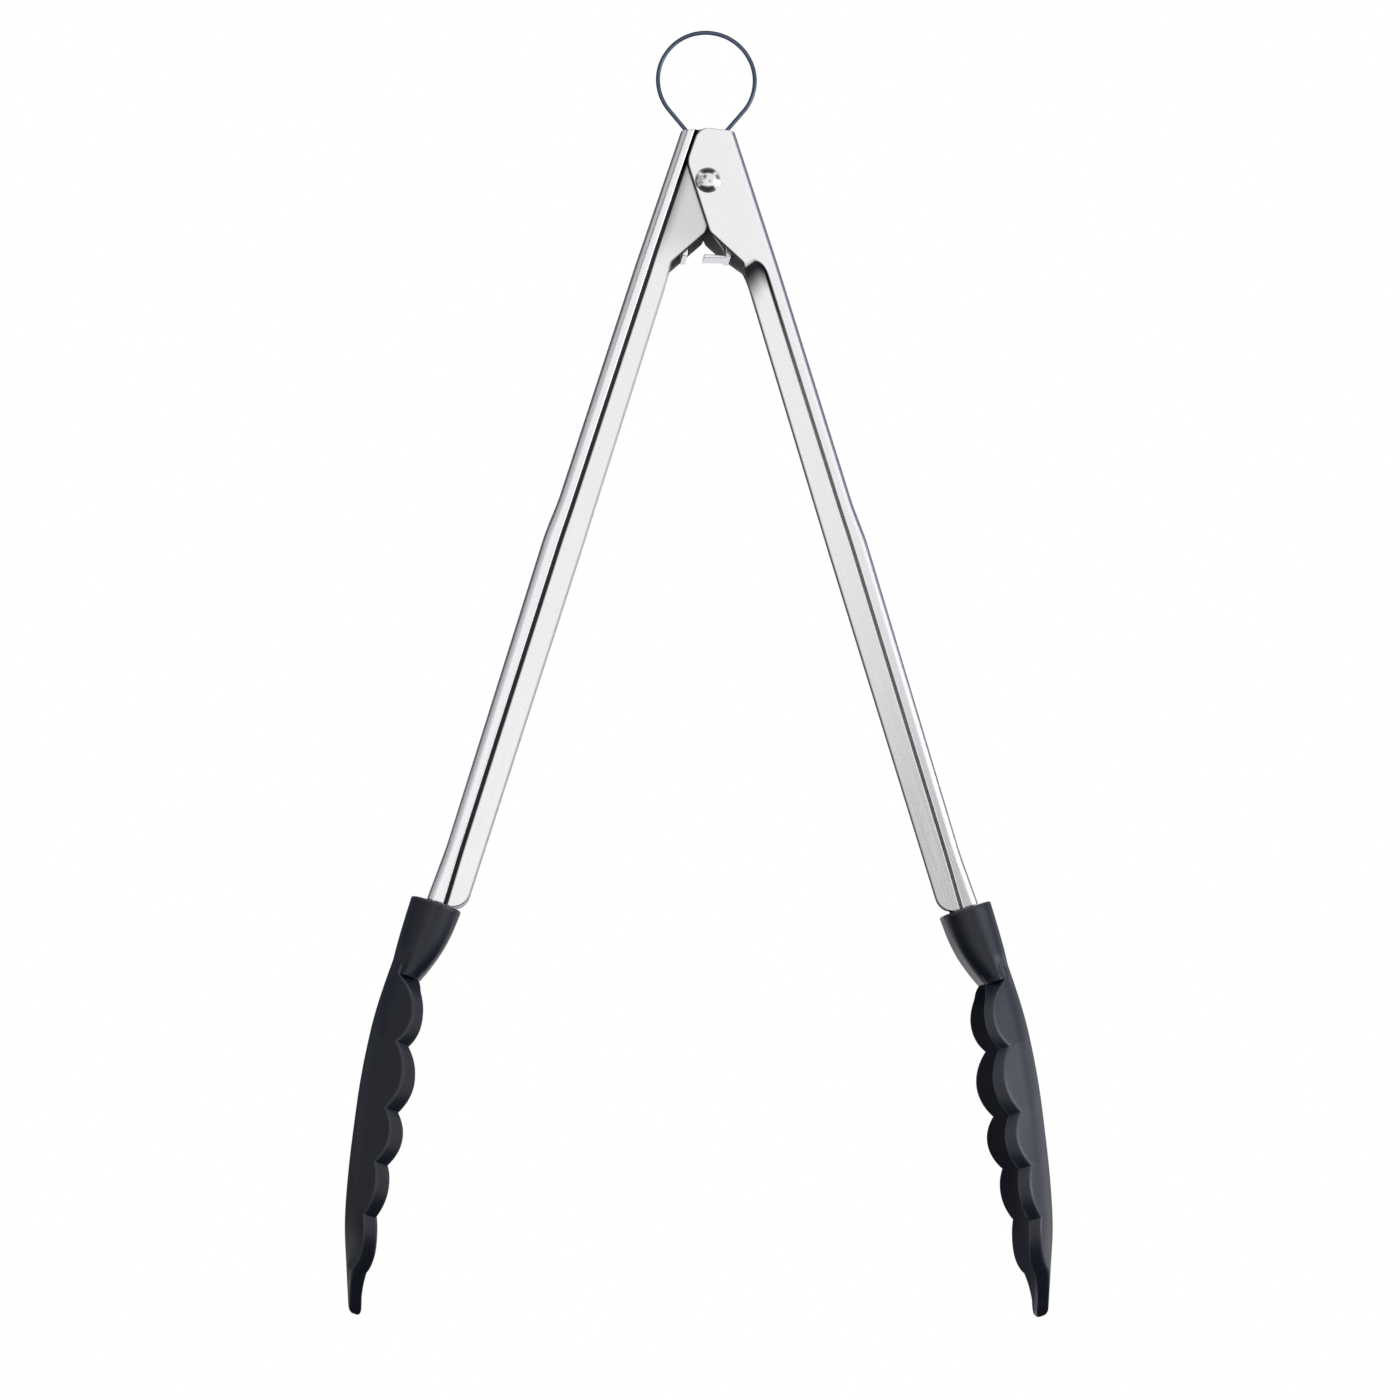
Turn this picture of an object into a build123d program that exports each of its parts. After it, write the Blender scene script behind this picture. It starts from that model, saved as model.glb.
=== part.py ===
from build123d import *
import math
import os

# Sprung kitchen tongs, hung by their pull ring with the arms open, in millimetres.
# Z is up, X runs across the jaws and Y along the rivet. The origin is the top of the ring's
# inside, where a hook bears. An arm is drawn upright in its own frame, with "out" measured from
# the rivet's axis to its back and "down" from the rivet to its tip, then swung to its open angle.

open_angle = 18.15

# Arms: sheet steel channels with a raised strip along the back and recessed flanges.
sheet = 0.9
back_half = 8.5
nest_gap = 0.25
flange_half = back_half - sheet - nest_gap
back_bend = 1.9
step_run = 0.7
head_back = 10.4
handle_back = 9.6
stop_back = 10.1
lower_back = 8.1
end_back = 8.5
recess_start = 22.6
recess_run = 4.4
finger_stop = 89.0
finger_stop_run = 9.0
flare_start = 180.0
flange_end = 193.3
tang_end = 209.0
tang_half = 5.5
cheek_edge = -3.75

# Rivet, bush and spring on the swing axis.
rivet_radius = 2.0
rivet_play = 0.05
dome_play = 0.05
dome_radius = 3.25
dome_height = 1.9
bush_wall = 0.9
bush_radius = rivet_radius + rivet_play + bush_wall
spring_wire = 1.5
coil_play = 0.25
spring_radius = bush_radius + coil_play + spring_wire / 2
turn_gap = 0.5
spring_pitch = spring_wire + turn_gap
spring_reach = 17.0

# Lock: catches folded in from the backs, and a folded slider whose hooks rise behind them.
catch_half = 2.4
catch_down = 10.5
catch_drop = 3.2
catch_out = 3.55
hook_play = 0.8
hook_rise = 2.2
hook_clear = 2.05
hook_gap = 0.35
hook_half = catch_half + 0.2
lock_travel = hook_clear + catch_drop - sheet - hook_gap
plate_gap = 0.55
plate_half = flange_half - sheet - plate_gap
plate_wall = 1.9
plate_width = rivet_radius + rivet_play + plate_wall
bush_half = plate_half - sheet - 0.2
web_half = catch_out + sheet + hook_play + sheet
web_depth = hook_half + 1.0
foot_width = 1.3
fork_down = 8.3
web_down = catch_down + catch_drop + hook_clear + hook_rise + sheet / 2

# Pull ring: a drop of wire round the slider's cross pin.
ring_wire = 1.3
ring_radius = 12.3
ring_up = 27.6
ring_eye = 2.0
ring_lean = 40.0
pin_play = 0.05
pin_wall = 0.9

# Jaws: a socket on the arm's end and a scalloped scoop, moulded in one piece.
jaw_wall = 2.4
tip_wall = 3.2
socket_lip = 1.1
socket_half = back_half + socket_lip
socket_start = flange_end + 0.2
socket_length = 19.5
socket_end = socket_start + socket_length
scoop_length = 82.2
jaw_end = socket_end + scoop_length

pivot_z = -(ring_up + ring_radius - ring_wire / 2)
pin_up = ring_up - (ring_radius - ring_eye) / math.sin(math.radians(ring_lean))
pin_radius = ring_eye - ring_wire / 2 - pin_play


def rounded_face(corners, place):
    # A closed outline of straight runs, each corner (a, b, radius) eased by an arc of that radius.
    runs = []
    count = len(corners)
    for index in range(count):
        a, b, radius = corners[index]
        here = Vector(a, b)
        before = Vector(*corners[index - 1][:2]) - here
        after = Vector(*corners[(index + 1) % count][:2]) - here
        if radius == 0:
            runs.append((here, None, here))
            continue
        half = before.get_angle(after) * math.pi / 360
        reach = radius / math.tan(half)
        middle = (before.normalized() + after.normalized()).normalized()
        start = here + before.normalized() * reach
        end = here + after.normalized() * reach
        crown = here + middle * (radius / math.sin(half) - radius)
        runs.append((start, crown, end))
    edges = []
    for index in range(count):
        start, crown, end = runs[index]
        if crown is not None:
            edges.append(ThreePointArc(place(start), place(crown), place(end)))
        edges.append(Line(place(end), place(runs[(index + 1) % count][0])))
    return make_face(edges)


def side_place(point):
    return (point.X, 0, -point.Y)


def block(out, half, down):
    # A box of the arm's frame: out and down as (from, to), half the width along Y.
    size = (out[1] - out[0], 2 * half, down[1] - down[0])
    middle = ((out[0] + out[1]) / 2, 0, -(down[0] + down[1]) / 2)
    return Pos(*middle) * Box(*size)


def arm_section(down, back, step, half):
    deep = cheek_edge - 3
    slope = math.atan2(back_half - half, step_run)
    shift = sheet * math.tan(slope / 2)
    outer = [
        (deep, half, 0),
        (step - step_run, half, 0),
        (step, back_half, 0),
        (back, back_half, back_bend),
    ]
    inner = [
        (back - sheet, back_half - sheet, back_bend - sheet),
        (step + shift, back_half - sheet, 0),
        (step - step_run + shift, half - sheet, 0),
        (deep, half - sheet, 0),
    ]
    near = [(out, -y, radius) for out, y, radius in outer]
    far = [(out, y, radius) for out, y, radius in reversed(outer)]
    near_inner = [(out, -y, radius) for out, y, radius in reversed(inner)]
    loop = near + far + list(reversed(inner)) + list(reversed(near_inner))
    return rounded_face(loop, lambda point: (point.X, point.Y, -down))


def make_arm(head_half):
    recess_end = recess_start + recess_run
    stations = [
        (-16.0, head_back, 7.5, head_half),
        (recess_start, head_back, 7.4, head_half),
        (recess_end, head_back, 7.3, flange_half),
        (finger_stop, handle_back, 6.6, flange_half),
        (finger_stop + finger_stop_run, stop_back, 6.6, flange_half),
        (flare_start, lower_back, 5.0, flange_half),
        (flange_end, end_back, 4.5, flange_half),
        (tang_end + 1, end_back, 4.5, flange_half),
    ]
    channel = loft([arm_section(*station) for station in stations], ruled=True)
    outline = rounded_face(
        [
            (14, -8.3, 0),
            (2.3, -13.5, 3.0),
            (cheek_edge, -5.4, 5.0),
            (cheek_edge, 12.6, 1.0),
            (1.95, recess_start, 1.5),
            (1.6, recess_end, 0),
            (0.25, finger_stop, 0),
            (0.05, finger_stop + finger_stop_run, 0),
            (-1.2, flare_start, 0),
            (-1.4, flange_end, 4.2),
            (14, flange_end, 0),
        ],
        side_place,
    )
    arm = channel & extrude(outline, amount=back_half + 2, both=True)
    tang = channel & block((end_back - 2.6, end_back + 3), tang_half, (flange_end - 0.5, tang_end))
    arm = arm + tang
    catch_end = catch_down + sheet
    shelf = block((catch_out, head_back - sheet / 2), catch_half, (catch_down, catch_end))
    lip = block((catch_out, catch_out + sheet), catch_half, (catch_down, catch_down + catch_drop))
    flap = head_back - catch_out + catch_drop
    window = block((head_back - 2 * sheet, head_back + 1), catch_half + 0.2, (catch_end, catch_end + flap))
    bore = Rot(90, 0, 0) * Cylinder(rivet_radius + rivet_play, 3 * back_half)
    return arm - window + shelf + lip - bore


def socket_section(down, inner, outer, half):
    middle = ((inner + outer) / 2, 0, -down)
    return Pos(*middle) * Ellipse((outer - inner) / 2, half)


def scoop_section(down, back, bend, slope, reach, wall):
    # An arched strip: a bend in the middle, straight walls either side, shifted inward for its inside.
    angle = math.radians(slope)
    turn_y = bend * math.sin(angle)
    turn_out = back - bend * (1 - math.cos(angle))
    rim_y = turn_y + reach * math.cos(angle)
    rim_out = turn_out - reach * math.sin(angle)

    def at(out, y):
        return (out, y, -down)

    edges = []
    for inset, side in ((0, 1), (wall, -1)):
        rim = at(rim_out - inset, -side * rim_y)
        turn = at(turn_out - inset, -side * turn_y)
        crown = at(back - inset, 0)
        far_turn = at(turn_out - inset, side * turn_y)
        far_rim = at(rim_out - inset, side * rim_y)
        edges += [Line(rim, turn), ThreePointArc(turn, crown, far_turn), Line(far_turn, far_rim)]
        edges.append(Line(far_rim, at(rim_out - (wall - inset), side * rim_y)))
    return make_face(edges)


def make_jaw():
    # Each section's place is a share of the scoop's length, from the socket's end to the tip.
    def section(share, back, bend, slope, reach, wall):
        return scoop_section(socket_end + share * scoop_length, back, bend, slope, reach, wall)

    scoop = loft(
        [
            section(-0.085, 11.6, 12.0, 50, 6.0, jaw_wall),
            section(0.036, 11.75, 13.2, 51, 8.0, jaw_wall),
            section(0.182, 11.3, 14.8, 52, 8.5, jaw_wall),
            section(0.328, 9.8, 16.4, 51, 9.0, jaw_wall),
            section(0.474, 7.55, 18.6, 47, 9.0, jaw_wall),
            section(0.620, 4.95, 21.5, 41, 8.5, jaw_wall),
            section(0.754, 1.95, 22.5, 36, 7.5, jaw_wall),
            section(0.876, -1.9, 20.0, 28, 7.0, (jaw_wall + tip_wall) / 2),
            section(1.022, -6.7, 24.0, 12, 6.0, tip_wall),
        ]
    )
    # Half the rim seen along "out": each scallop is an arc from notch to notch over its crest.
    notches = [(0.0, 8.0), (0.196, 13.3), (0.392, 15.1), (0.552, 15.9), (0.708, 15.2)]
    crests = [(0.11, 14.3), (0.298, 16.7), (0.472, 17.7), (0.628, 17.6)]

    def rim_place(share, y):
        return (0, y, -socket_end - share * scoop_length)

    top = -0.097
    edges = [Line(rim_place(top, -notches[0][1]), rim_place(top, notches[0][1]))]
    for side in (1, -1):
        edges.append(Line(rim_place(top, side * notches[0][1]), rim_place(0, side * notches[0][1])))
        for index, crest in enumerate(crests):
            start = rim_place(notches[index][0], side * notches[index][1])
            summit = rim_place(crest[0], side * crest[1])
            end = rim_place(notches[index + 1][0], side * notches[index + 1][1])
            edges.append(ThreePointArc(start, summit, end))
        last = rim_place(notches[-1][0], side * notches[-1][1])
        turn = rim_place(0.871, side * 10.0)
        edges.append(ThreePointArc(last, rim_place(0.798, side * 15.0), turn))
        edges.append(Line(turn, rim_place(0.951, side * 5.2)))
    edges.append(ThreePointArc(rim_place(0.951, 5.2), rim_place(1, 0), rim_place(0.951, -5.2)))
    rim = extrude(make_face(edges), amount=40, both=True)
    scoop = scoop & rim
    socket = loft(
        [
            socket_section(socket_start, -1.1, 12.4, socket_half),
            socket_section(socket_start + 0.56 * socket_length, 0.0, 12.15, socket_half + 0.35),
            socket_section(socket_end, 2.8, 11.9, socket_half + 0.6),
        ],
        ruled=True,
    )
    return scoop + socket


def bend_path(points, tangents):
    # Two arcs between each pair of points, meeting both tangents.
    edges = []
    for index in range(len(points) - 1):
        start, end = points[index], points[index + 1]
        first, last = tangents[index], tangents[index + 1]
        chord = end - start
        sum_way = first + last
        square = 2 * (1 - first.dot(last))
        linear = 2 * chord.dot(sum_way)
        level = -chord.dot(chord)
        length = (-linear + math.sqrt(linear * linear - 4 * square * level)) / (2 * square)
        joint = (start + first * length + end - last * length) / 2
        joint_way = (end - last * length - start - first * length).normalized()
        edges.append(TangentArc(start, joint, tangent=first))
        edges.append(TangentArc(joint, end, tangent=joint_way))
    return edges


def make_spring():
    # The end of the right leg, against the back of the open arm.
    swing = math.radians(open_angle)
    leg_out = head_back - sheet - spring_wire / 2 - 0.05
    leg_x = leg_out * math.cos(swing) + spring_reach * math.sin(swing)
    leg_z = leg_out * math.sin(swing) - spring_reach * math.cos(swing)
    distance = math.hypot(leg_x, leg_z)
    first = math.atan2(leg_z, leg_x) + math.acos(spring_radius / distance)
    last = math.pi - first + 6 * math.pi
    leg_length = math.sqrt(distance * distance - spring_radius * spring_radius)
    rise = spring_pitch / (2 * math.pi)
    span_count = 13
    points = []
    tangents = []
    for index in range(span_count + 1):
        angle = first + (last - first) * index / span_count
        level = rise * (angle - (first + last) / 2)
        points.append(Vector(spring_radius * math.cos(angle), level, spring_radius * math.sin(angle)))
        way = Vector(-spring_radius * math.sin(angle), rise, spring_radius * math.cos(angle))
        tangents.append(way.normalized())
    near_end = points[0] - tangents[0] * leg_length
    far_end = points[-1] + tangents[-1] * leg_length
    edges = [Line(near_end, points[0])] + bend_path(points, tangents) + [Line(points[-1], far_end)]
    path = Wire(edges)
    section = Plane(origin=near_end, z_dir=tangents[0]) * Circle(spring_wire / 2)
    # The least gap between turns, on points a good way apart along the wire.
    samples = [path @ (index / 600) for index in range(601)]
    step = path.length / 600
    apart = int(math.pi * spring_radius / step)
    least = min(
        (samples[low] - samples[high]).length
        for low in range(601)
        for high in range(low + apart, 601)
    )
    print("spring: least gap between turns", round(least - spring_wire, 3), "mm")
    return sweep(section, path=path)


def make_ring():
    # The circle, its two legs and the eye round the pin, all in the plane of the arms.
    across = math.cos(math.radians(ring_lean))
    below = math.sin(math.radians(ring_lean))
    top = (0, 0, ring_up + ring_radius)
    right = (ring_radius * across, 0, ring_up - ring_radius * below)
    left = (-ring_radius * across, 0, ring_up - ring_radius * below)
    right_eye = (ring_eye * across, 0, pin_up - ring_eye * below)
    left_eye = (-ring_eye * across, 0, pin_up - ring_eye * below)
    path = Wire(
        [
            ThreePointArc(top, (-ring_radius, 0, ring_up), left),
            Line(left, left_eye),
            ThreePointArc(left_eye, (0, 0, pin_up - ring_eye), right_eye),
            Line(right_eye, right),
            ThreePointArc(right, (ring_radius, 0, ring_up), top),
        ]
    )
    section = Plane(origin=top, z_dir=(-1, 0, 0)) * Circle(ring_wire / 2)
    return sweep(section, path=path)


def make_slider():
    plate_top = pin_up + pin_radius + pin_wall
    plate_low = -web_down - sheet / 2
    corner = pin_radius + pin_wall + 0.3
    foot = web_half - foot_width
    # Under the rivet's slot each plate forks into two legs, hidden behind the cheeks.
    right_half = [
        (corner, -plate_top, corner - 0.05),
        (corner, 1.55 - pin_up, 2.0),
        (plate_width, 4.05 - pin_up, 2.0),
        (plate_width, fork_down - 0.8, 2.0),
        (web_half, web_down - 4.6, 1.5),
        (web_half, -plate_low, 0),
        (foot, -plate_low, 0),
        (foot, web_down - 3.4, 1.0),
    ]
    left_half = [(-x, down, radius) for x, down, radius in reversed(right_half)]
    plate = rounded_face(right_half + [(0, fork_down, 1.2)] + left_half, side_place)
    plates = extrude(plate, amount=plate_half, both=True)
    gap = Box(40, 2 * (plate_half - sheet), 200)
    plates = plates - gap
    slot_half = rivet_radius + rivet_play
    slot_ends = [Pos(0, 0, level) * Rot(90, 0, 0) * Cylinder(slot_half, 30) for level in (0.1, -lock_travel - 0.1)]
    slot_run = Pos(0, 0, -lock_travel / 2) * Box(2 * slot_half, 30, lock_travel + 0.2)
    pin_hole = Pos(0, 0, pin_up) * Rot(90, 0, 0) * Cylinder(pin_radius, 30)
    plates = plates - slot_ends[0] - slot_ends[1] - slot_run - pin_hole
    # The web reaches in from the right-hand legs; a foot joins each pair and carries its hook.
    slider = plates + Pos(web_half / 2 - 0.3, 0, -web_down) * Box(web_half + 0.6, 2 * web_depth, sheet)
    for side in (1, -1):
        foot_x = side * (web_half - foot_width / 2)
        slider = slider + Pos(foot_x, 0, -web_down) * Box(foot_width, 2 * plate_half, sheet)
        hook_x = side * (web_half - sheet / 2)
        hook_z = -web_down + sheet / 2 + hook_rise / 2
        slider = slider + Pos(hook_x, 0, hook_z) * Box(sheet, 2 * hook_half, hook_rise + 0.2)
    return slider


def make_rivet():
    shank = Cylinder(rivet_radius, 2 * back_half + 1)
    ball = (dome_radius ** 2 + dome_height ** 2) / (2 * dome_height)
    rivet = shank
    dome_foot = back_half + dome_play
    for side in (1, -1):
        sphere = Pos(0, 0, side * (dome_foot + dome_height - ball)) * Sphere(ball)
        keep = Pos(0, 0, side * (dome_foot + 10)) * Box(40, 40, 20)
        rivet = rivet + (sphere & keep)
    return Rot(90, 0, 0) * rivet


def make_bush():
    outer = Cylinder(bush_radius, 2 * bush_half)
    return Rot(90, 0, 0) * (outer - Cylinder(rivet_radius + rivet_play, 3 * bush_half))


outer_arm = make_arm(back_half)
inner_arm = mirror(make_arm(flange_half), about=Plane.YZ)
jaw = make_jaw()
outer_jaw = jaw - outer_arm
inner_jaw = mirror(jaw, about=Plane.YZ) - inner_arm

pivot = Pos(0, 0, pivot_z)
swung_out = pivot * Rot(0, -open_angle, 0)
swung_in = pivot * Rot(0, open_angle, 0)
pin_half = plate_half + 0.2
nodes = {
    "outer_arm": swung_out * outer_arm,
    "outer_jaw": swung_out * outer_jaw,
    "inner_arm": swung_in * inner_arm,
    "inner_jaw": swung_in * inner_jaw,
    "pivot_rivet": pivot * make_rivet(),
    "pivot_bush": pivot * make_bush(),
    "torsion_spring": pivot * make_spring(),
    "lock_slider": pivot * make_slider(),
    "ring_pin": pivot * Pos(0, 0, pin_up) * Rot(90, 0, 0) * Cylinder(pin_radius, 2 * pin_half),
    "pull_ring": pivot * make_ring(),
}

os.makedirs("parts", exist_ok=True)
for name, shape in nodes.items():
    export_step(shape, f"parts/{name}.step")
    box = shape.bounding_box()
    print(name, len(shape.solids()), "solid", round(shape.volume, 1), "mm3", box.min, box.max)
print("pivot z", round(pivot_z, 3), "pin z", round(pivot_z + pin_up, 3))
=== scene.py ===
import bpy
import bmesh
from math import acos, asin, atan2, ceil, copysign, cos, hypot, pi, radians, sin, sqrt, tan
from mathutils import Matrix, Vector


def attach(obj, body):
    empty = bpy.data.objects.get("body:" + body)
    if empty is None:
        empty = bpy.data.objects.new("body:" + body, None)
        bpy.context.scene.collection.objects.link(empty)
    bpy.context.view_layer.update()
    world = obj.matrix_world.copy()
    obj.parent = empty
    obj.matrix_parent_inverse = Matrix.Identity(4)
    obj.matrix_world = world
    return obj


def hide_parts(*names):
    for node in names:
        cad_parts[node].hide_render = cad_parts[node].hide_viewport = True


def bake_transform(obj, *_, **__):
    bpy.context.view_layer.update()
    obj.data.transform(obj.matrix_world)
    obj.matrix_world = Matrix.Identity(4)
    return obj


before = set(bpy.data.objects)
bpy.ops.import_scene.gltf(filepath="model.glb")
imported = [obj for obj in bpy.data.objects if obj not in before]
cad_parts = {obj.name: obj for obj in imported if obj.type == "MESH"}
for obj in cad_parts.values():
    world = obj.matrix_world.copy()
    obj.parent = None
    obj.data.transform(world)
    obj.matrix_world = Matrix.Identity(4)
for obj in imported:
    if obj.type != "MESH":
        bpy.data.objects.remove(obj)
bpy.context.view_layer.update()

# Sizes are in millimetres. An arm and its jaw are laid out upright in a frame of their own:
# out from the rivet's axis to the arm's back, y along the rivet, down from the rivet to the tip.
mm = 0.001
hang = {"pivotZ": -39.25, "openAngle": 18.15}
openAngle = radians(hang["openAngle"])
cosOpen = cos(openAngle)
sinOpen = sin(openAngle)


def armPoint(side, out, y, down):
    x = out * cosOpen + down * sinOpen
    z = hang["pivotZ"] + out * sinOpen - down * cosOpen
    return Vector((side * x, y, z)) * mm


def pivotPoint(x, y, up):
    return Vector((x, y, hang["pivotZ"] + up)) * mm


def between(low, high, share):
    return low + (high - low) * share


def clamped(share):
    return min(1.0, max(0.0, share))


def ease(share):
    share = clamped(share)
    return share * share * (3.0 - 2.0 * share)


def easeFrom(place, start, run):
    return ease((place - start) / run)


def spaced(start, end, count):
    return [between(start, end, index / count) for index in range(count)]


def ladder(start, end, count):
    return spaced(start, end, count) + [end]


def quarterTurn(steps):
    return [radians(90 * step / steps) for step in range(steps + 1)]


def fullTurn(steps):
    return [2 * pi * step / steps for step in range(steps)]


def mirrored(points):
    # the same points on the other side, with y the other way
    return [(point[0], -point[1], *point[2:]) for point in points]


def reading(rows, place, column):
    # straight lines between the rows of a size list
    for low, high in zip(rows, rows[1:]):
        if place <= high[0]:
            return between(low[column], high[column], (place - low[0]) / (high[0] - low[0]))
    return rows[-1][column]


def smoothReading(rows, place, column):
    # one smooth curve through the rows of a size list
    def lean(index):
        low = rows[max(0, index - 1)]
        high = rows[min(len(rows) - 1, index + 1)]
        return (high[column] - low[column]) / (high[0] - low[0])

    for index in range(len(rows) - 1):
        low, high = rows[index], rows[index + 1]
        if place <= high[0] or index == len(rows) - 2:
            run = high[0] - low[0]
            t = (place - low[0]) / run
            first = low[column] * (1 + 2 * t) + lean(index) * run * t
            last = high[column] * (3 - 2 * t) - lean(index + 1) * run * (1 - t)
            return first * (1 - t) ** 2 + last * t * t


def roundedOutline(corners, arcSteps):
    # a closed outline whose corners (a, b, radius) are eased by arcs
    points = []
    for index, (a, b, radius) in enumerate(corners):
        here = Vector((a, b))
        before = (Vector(corners[index - 1][:2]) - here).normalized()
        after = (Vector(corners[(index + 1) % len(corners)][:2]) - here).normalized()
        if radius == 0:
            points.append(here)
            continue
        half = before.angle(after) / 2
        centre = here + (before + after).normalized() * radius / sin(half)
        start = here + before * radius / tan(half) - centre
        end = here + after * radius / tan(half) - centre
        for step in range(arcSteps + 1):
            spoke = start.slerp(end, step / arcSteps)
            points.append(centre + spoke.normalized() * radius)
    return points


def insideOutline(points, a, b):
    inside = False
    for here, there in zip(points, points[1:] + points[:1]):
        if (here.y > b) != (there.y > b):
            cross = here.x + (b - here.y) * (there.x - here.x) / (there.y - here.y)
            if a < cross:
                inside = not inside
    return inside


def putIn(name, data):
    piece = bpy.data.objects.new(name, data)
    bpy.context.scene.collection.objects.link(piece)
    return piece


def finishMesh(bm, name, material, smoothAngle=35):
    bmesh.ops.recalc_face_normals(bm, faces=bm.faces[:])
    mesh = bpy.data.meshes.new(name)
    bm.to_mesh(mesh)
    bm.free()
    piece = putIn(name, mesh)
    mesh.materials.append(material)
    mesh.shade_smooth()
    mesh.set_sharp_from_angle(angle=radians(smoothAngle))
    return piece


def skinRings(bm, rings, capStart=False, capEnd=False):
    # closed rings of equal count, joined in order
    made = [[bm.verts.new(point) for point in ring] for ring in rings]
    count = len(made[0])
    for low, high in zip(made, made[1:]):
        for index in range(count):
            after = (index + 1) % count
            bm.faces.new((low[index], low[after], high[after], high[index]))
    if capStart:
        bm.faces.new(made[0])
    if capEnd:
        bm.faces.new(made[-1])
    return made


def skinGrid(bm, rows):
    # open rows of equal count, joined in order
    made = [[bm.verts.new(point) for point in row] for row in rows]
    for low, high in zip(made, made[1:]):
        for index in range(len(low) - 1):
            bm.faces.new((low[index], low[index + 1], high[index + 1], high[index]))


# Shader trees

class Level:
    # a socket's value, which takes part in sums
    def __init__(self, tree, socket):
        self.tree = tree
        self.socket = socket

    def sum(self, operation, left, right):
        return self.tree.node("ShaderNodeMath", {"operation": operation}, {0: left, 1: right})

    def __add__(self, other):
        return self.sum("ADD", self, other)

    def __radd__(self, other):
        return self.sum("ADD", other, self)

    def __sub__(self, other):
        return self.sum("SUBTRACT", self, other)

    def __rsub__(self, other):
        return self.sum("SUBTRACT", other, self)

    def __mul__(self, other):
        return self.sum("MULTIPLY", self, other)

    def __rmul__(self, other):
        return self.sum("MULTIPLY", other, self)


class Tree:
    def __init__(self, owner):
        owner.use_nodes = True
        self.owner = owner
        self.tree = owner.node_tree
        self.tree.nodes.clear()

    def node(self, kind, settings=None, sockets=None, output=0):
        made = self.tree.nodes.new(kind)
        for name, value in (settings or {}).items():
            if name == "stops":
                ramp = made.color_ramp
                for index, (place, level) in enumerate(value):
                    stop = ramp.elements[index] if index < 2 else ramp.elements.new(place)
                    stop.position = place
                    stop.color = (level, level, level, 1.0)
            else:
                setattr(made, name, value)
        for name, value in (sockets or {}).items():
            if isinstance(value, Level):
                self.tree.links.new(value.socket, made.inputs[name])
            else:
                made.inputs[name].default_value = value
        return Level(self, made.outputs[output]) if len(made.outputs) else None

    def mixColour(self, share, first, second):
        return self.node(
            "ShaderNodeMix", {"data_type": "RGBA"}, {0: share, 6: first, 7: second}, output=2
        )

    def place(self, turn=0.0, scale=(1.0, 1.0, 1.0)):
        # object coordinates, first turned about y and then stretched
        coords = self.node("ShaderNodeTexCoord", output="Object")
        upright = self.node("ShaderNodeMapping", None, {"Vector": coords, "Rotation": (0.0, turn, 0.0)})
        return self.node("ShaderNodeMapping", None, {"Vector": upright, "Scale": scale})

    def noise(self, scale, detail=3.0, where=None):
        sockets = {"Vector": where or self.place(), "Scale": scale, "Detail": detail, "Roughness": 0.55}
        return self.node("ShaderNodeTexNoise", None, sockets)

    def mark(self, name):
        # a value kept on the mesh's points
        return self.node("ShaderNodeAttribute", {"attribute_name": name}, output="Fac")

    def bump(self, height, strength, distance):
        sockets = {"Height": height, "Strength": strength, "Distance": distance}
        return self.node("ShaderNodeBump", None, sockets)

    def output(self, shader, kind="Material"):
        self.node("ShaderNodeOutput" + kind, None, {"Surface": shader})
        return self.owner

    def surface(self, colour, roughness, normal, metallic=0.0):
        sockets = {"Base Color": colour, "Metallic": metallic, "Roughness": roughness, "Normal": normal}
        return self.output(self.node("ShaderNodeBsdfPrincipled", None, sockets))


steelLook = {
    "bright": (0.905, 0.90, 0.91, 1.0),
    "dullAndShade": (0.845, 0.84, 0.85, 1.0),
    # the colour of the painted shade in the folds, along the edges and inside the head
    "paintedShadeColour": (0.022, 0.022, 0.027, 1.0),
    # across, across, along
    "streaks": (2600.0, 2600.0, 30.0),
    "scuffs": (900.0, 900.0, 40.0),
    "scuffStops": ((0.55, 0.0), (0.8, 1.0)),
    "clouds": 60.0,
    "roughness": 0.27,
    "streakRough": 0.08,
    "scuffRough": 0.05,
    "paintedShadeRough": 0.2,
    "polish": 0.04,
    # strength, and depth in metres
    "bump": (0.06, 0.00002),
}


def brushedSteel(name, turn):
    # satin sheet, ground lengthwise: fine streaks along the arm and faint clouds, with shade painted in its
    # folds, along its free edges and inside the head
    look = steelLook
    tree = Tree(bpy.data.materials.new(name))
    streaks = tree.noise(1.0, detail=2.0, where=tree.place(turn, look["streaks"]))
    clouds = tree.noise(look["clouds"])
    scuffs = tree.noise(1.0, detail=4.0, where=tree.place(turn, look["scuffs"]))
    scuffs = tree.node("ShaderNodeValToRGB", {"stops": look["scuffStops"]}, {0: scuffs})
    paintedShade = tree.mark("paintedShade")
    colour = tree.mixColour(streaks * 0.5 + clouds * 0.5, look["dullAndShade"], look["bright"])
    # painted shade: where marked, the colour is mixed towards near black
    colour = tree.mixColour(paintedShade, colour, look["paintedShadeColour"])
    roughness = look["roughness"] + streaks * look["streakRough"] + scuffs * look["scuffRough"]
    roughness = roughness + paintedShade * look["paintedShadeRough"] - look["polish"]
    normal = tree.bump(streaks, *look["bump"])
    return tree.surface(colour, roughness, normal, metallic=1.0)


wireLook = {"mottle": 900.0, "patches": 120.0, "mottleRough": 0.16, "bump": (0.15, 0.00002)}


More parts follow.
